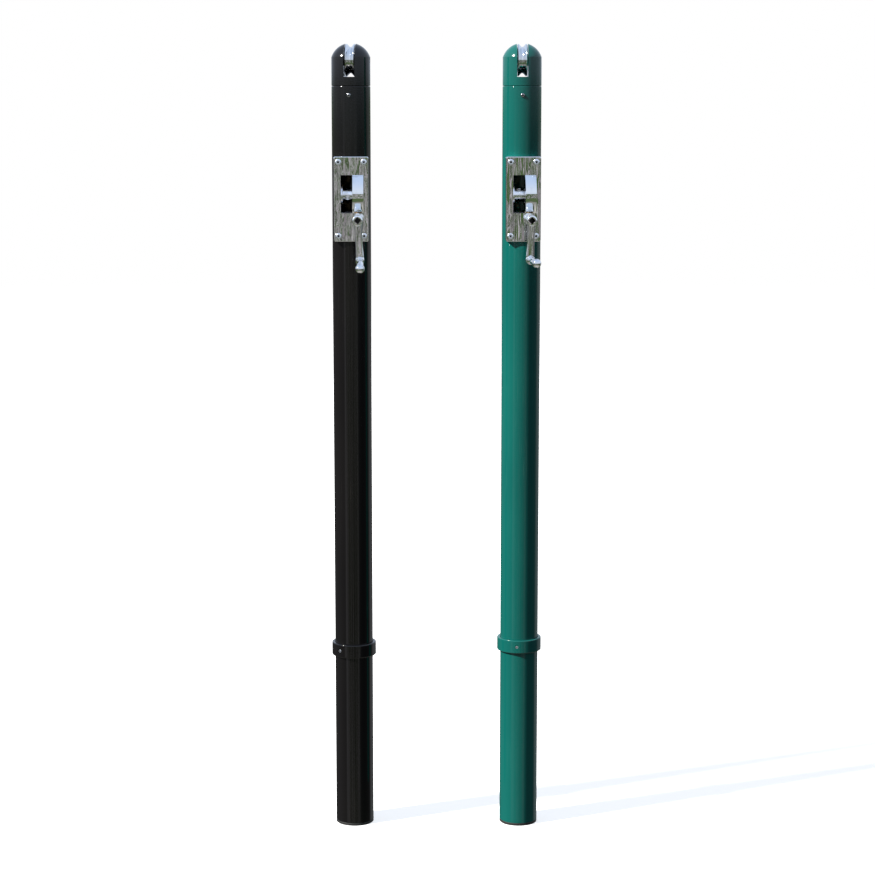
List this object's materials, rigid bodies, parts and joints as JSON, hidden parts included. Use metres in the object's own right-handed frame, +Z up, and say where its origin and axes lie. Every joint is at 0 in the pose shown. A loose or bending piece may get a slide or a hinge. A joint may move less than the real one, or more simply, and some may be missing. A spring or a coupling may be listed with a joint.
{
  "type": "internal winch net posts",
  "caption": "Pair of round steel net posts, one black and one green, with a grooved sheave in the domed cap, a worm-geared cable winch in the tube, a crank and a sliding ground collar.",
  "frame": {"origin": "centre of the black post's flat foot, on the ground", "axes": "+Z up along both posts; +X from the black post to the green one; -Y out of the winch plates, towards the person at the crank"},
  "size_m": [0.4065, 0.1735, 1.5083],
  "materials": {
    "black_coat": "gloss black powder coat on steel and cast aluminium",
    "green_coat": "gloss green powder coat on steel and cast aluminium",
    "polished_chrome": "polished, chrome-plated casting",
    "screw_steel": "bright zinc-plated steel",
    "machined_steel": "turned and milled steel, lightly oiled",
    "bronze": "machined bronze",
    "plug_plastic": "moulded black plastic"
  },
  "bodies": {
    "posts": {"black_tube": "black_coat", "black_foot_plug": "plug_plastic", "black_cap": "black_coat", "black_sheave_pin": "machined_steel", "black_sheave_washer_left": "machined_steel", "black_sheave_washer_right": "machined_steel", "black_cap_screw_front": "screw_steel", "black_cap_screw_back": "screw_steel", "black_winch_plate": "polished_chrome", "black_plate_screw_top_left": "polished_chrome", "black_plate_screw_top_right": "polished_chrome", "black_plate_screw_bottom_left": "polished_chrome", "black_plate_screw_bottom_right": "polished_chrome", "black_winch_bracket": "machined_steel", "black_shaft_bush_right": "bronze", "black_shaft_bush_left": "bronze", "black_worm_bush_rear": "bronze", "black_worm_bush_front": "bronze", "green_tube": "green_coat", "green_foot_plug": "plug_plastic", "green_cap": "green_coat", "green_sheave_pin": "machined_steel", "green_sheave_washer_left": "machined_steel", "green_sheave_washer_right": "machined_steel", "green_cap_screw_front": "screw_steel", "green_cap_screw_back": "screw_steel", "green_winch_plate": "polished_chrome", "green_plate_screw_top_left": "polished_chrome", "green_plate_screw_top_right": "polished_chrome", "green_plate_screw_bottom_left": "polished_chrome", "green_plate_screw_bottom_right": "polished_chrome", "green_winch_bracket": "machined_steel", "green_shaft_bush_right": "bronze", "green_shaft_bush_left": "bronze", "green_worm_bush_rear": "bronze", "green_worm_bush_front": "bronze"},
    "black_sheave_body": {"black_sheave": "polished_chrome"},
    "black_drum_body": {"black_drum": "machined_steel", "black_worm_wheel": "bronze", "black_drum_shaft": "machined_steel"},
    "black_worm_body": {"black_worm": "machined_steel"},
    "black_crank_body": {"black_crank_arm": "polished_chrome", "black_grip_pin": "machined_steel"},
    "black_grip_body": {"black_crank_grip": "polished_chrome"},
    "black_collar_body": {"black_collar": "black_coat", "black_collar_screw": "screw_steel"},
    "green_sheave_body": {"green_sheave": "polished_chrome"},
    "green_drum_body": {"green_drum": "machined_steel", "green_worm_wheel": "bronze", "green_drum_shaft": "machined_steel"},
    "green_worm_body": {"green_worm": "machined_steel"},
    "green_crank_body": {"green_crank_arm": "polished_chrome", "green_grip_pin": "machined_steel"},
    "green_grip_body": {"green_crank_grip": "polished_chrome"},
    "green_collar_body": {"green_collar": "green_coat", "green_collar_screw": "screw_steel"}
  },
  "joints": [
    {"name": "black_sheave_spin", "type": "hinge", "parent": "posts", "child": "black_sheave_body", "pos_m": [0, 0, 1.4782], "axis": [0.9973, -0.0732, 0], "continuous": true},
    {"name": "black_crank_turn", "type": "hinge", "parent": "posts", "child": "black_worm_body", "pos_m": [0.0125, 0.00022, 1.18275], "axis": [-0.0175, 0.9998, 0], "continuous": true},
    {"name": "black_drum_turn", "type": "hinge", "parent": "posts", "child": "black_drum_body", "pos_m": [0.00023, -0.01333, 1.22775], "axis": [0.9998, 0.0175, 0], "continuous": true},
    {"name": "black_crank_pull_off", "type": "slide", "parent": "black_worm_body", "child": "black_crank_body", "axis": [0.0175, -0.9998, 0], "range_m": [0, 0.06]},
    {"name": "black_grip_spin", "type": "hinge", "parent": "black_crank_body", "child": "black_grip_body", "pos_m": [0.01779, -0.06973, 1.10986], "axis": [0.0304, -0.9699, -0.2415], "continuous": true},
    {"name": "black_collar_slide", "type": "slide", "parent": "posts", "child": "black_collar_body", "axis": [0, 0, 1], "range_m": [-0.33, 0.74]},
    {"name": "green_sheave_spin", "type": "hinge", "parent": "posts", "child": "green_sheave_body", "pos_m": [0.321, 0, 1.4782], "axis": [1, 0, 0], "continuous": true},
    {"name": "green_crank_turn", "type": "hinge", "parent": "posts", "child": "green_worm_body", "pos_m": [0.33348, 0.00076, 1.18275], "axis": [-0.061, 0.9981, 0], "continuous": true},
    {"name": "green_drum_turn", "type": "hinge", "parent": "posts", "child": "green_drum_body", "pos_m": [0.32181, -0.01331, 1.22775], "axis": [0.9981, 0.061, 0], "continuous": true},
    {"name": "green_crank_pull_off", "type": "slide", "parent": "green_worm_body", "child": "green_crank_body", "axis": [0.061, -0.9981, 0], "range_m": [0, 0.06]},
    {"name": "green_grip_spin", "type": "hinge", "parent": "green_crank_body", "child": "green_grip_body", "pos_m": [0.33457, -0.06933, 1.10982], "axis": [0.1967, -0.9787, -0.0583], "continuous": true},
    {"name": "green_collar_slide", "type": "slide", "parent": "posts", "child": "green_collar_body", "axis": [0, 0, 1], "range_m": [-0.33, 0.74]}
  ],
  "couplings": [
    {"joint": "black_drum_turn", "follows": "black_crank_turn", "ratio": -0.035714},
    {"joint": "green_drum_turn", "follows": "green_crank_turn", "ratio": -0.035714}
  ]
}
